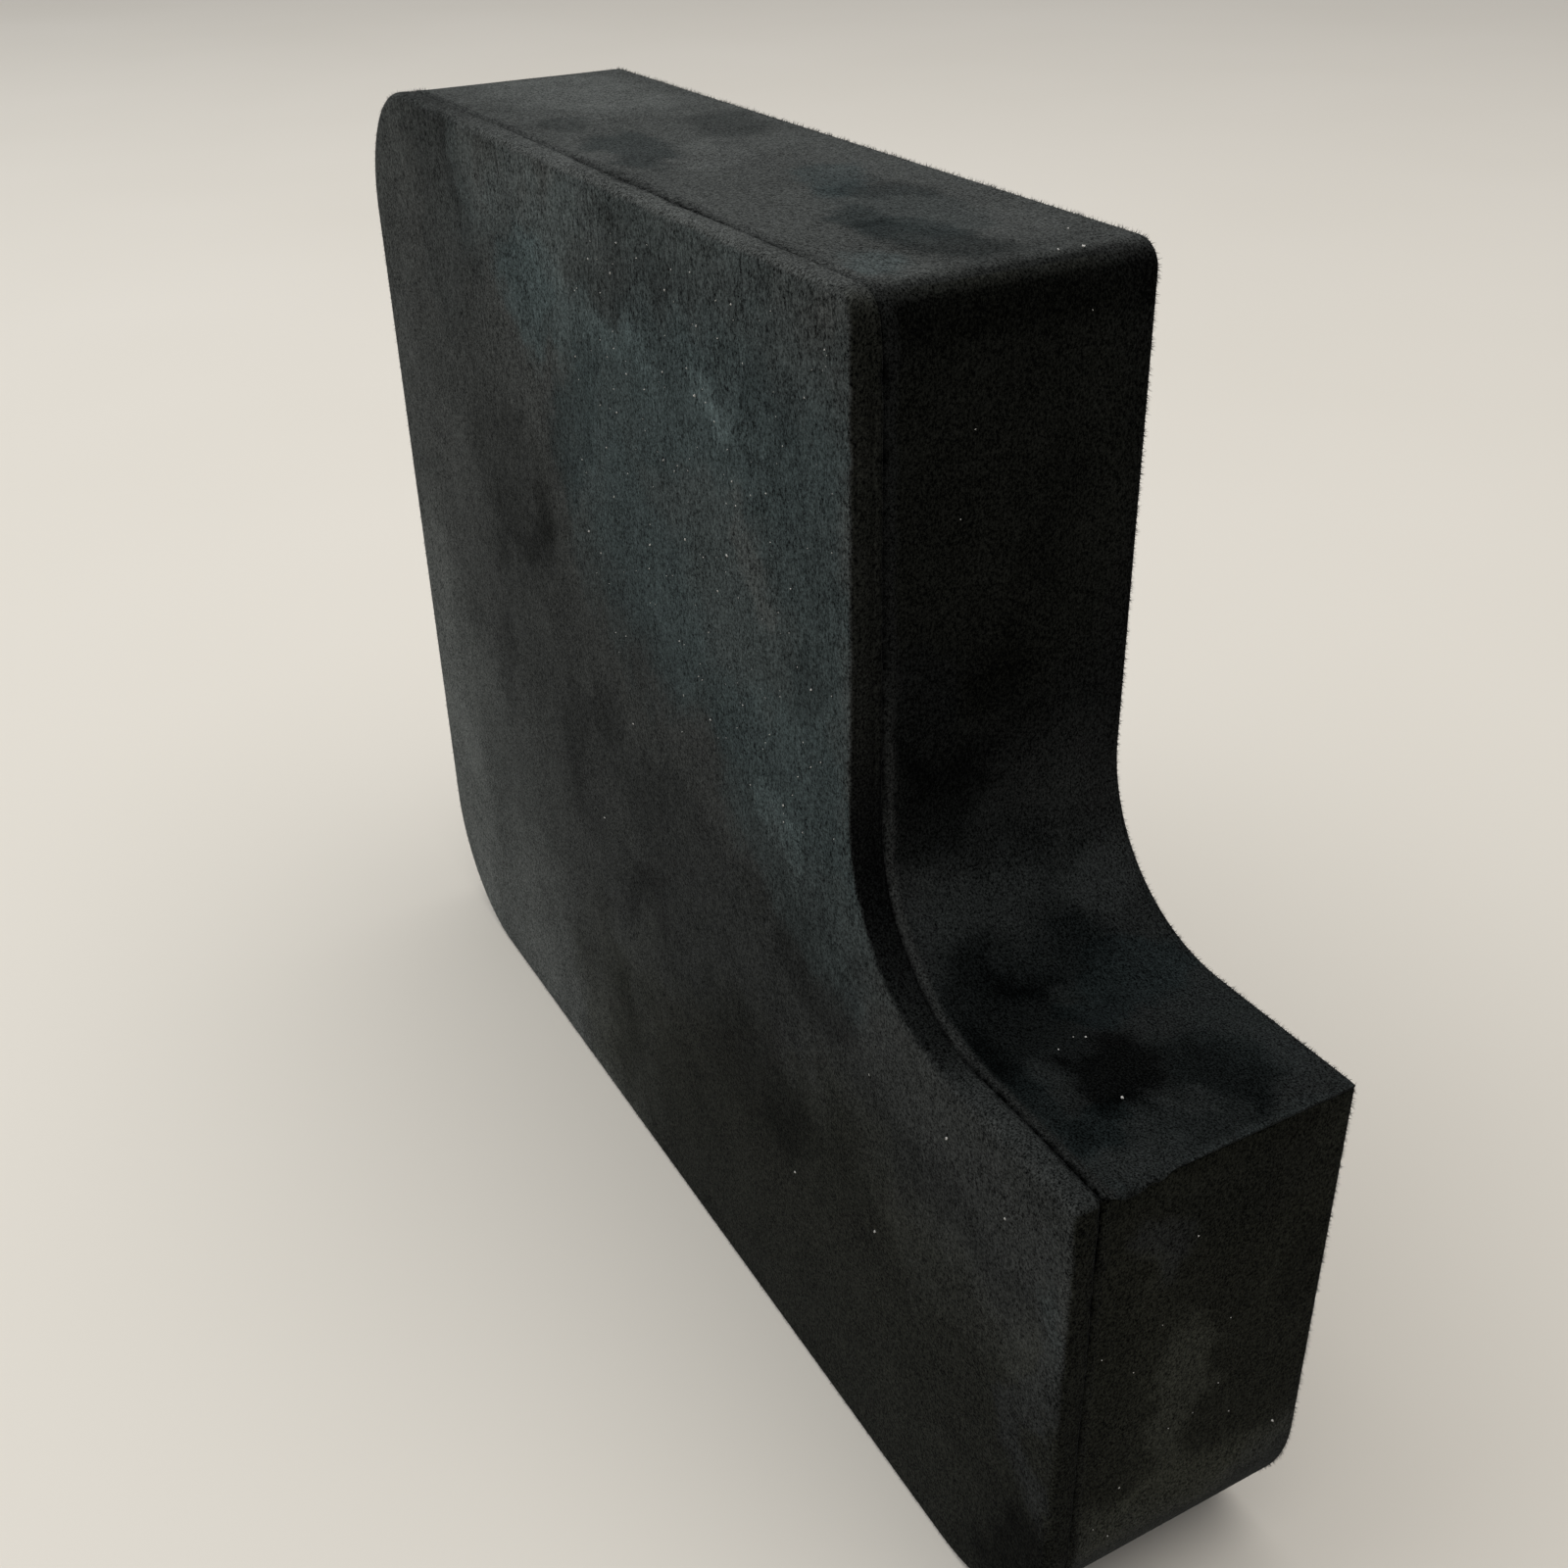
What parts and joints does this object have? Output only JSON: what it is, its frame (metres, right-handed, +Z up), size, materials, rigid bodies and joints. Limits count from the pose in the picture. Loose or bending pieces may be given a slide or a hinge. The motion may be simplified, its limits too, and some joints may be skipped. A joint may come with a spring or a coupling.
{
  "type": "foam block",
  "caption": "Stepped foam block covered in black suede cloth, with rounded corners, a coved step and turned-in seams, for holding a thing steady in a case or on a bench.",
  "frame": {"origin": "on the floor, under the middle of the block's length and thickness", "axes": "+X along the block towards its stepped end, +Y through the thickness from front to back, +Z up"},
  "size_m": [0.2668, 0.0512, 0.2124],
  "materials": {
    "foam": "matte closed-cell foam",
    "suede": "napped black suede cloth"
  },
  "bodies": {
    "root": {"foam_core": "foam", "edge_band": "suede", "front_cover": "suede", "rear_cover": "suede"}
  },
  "joints": []
}
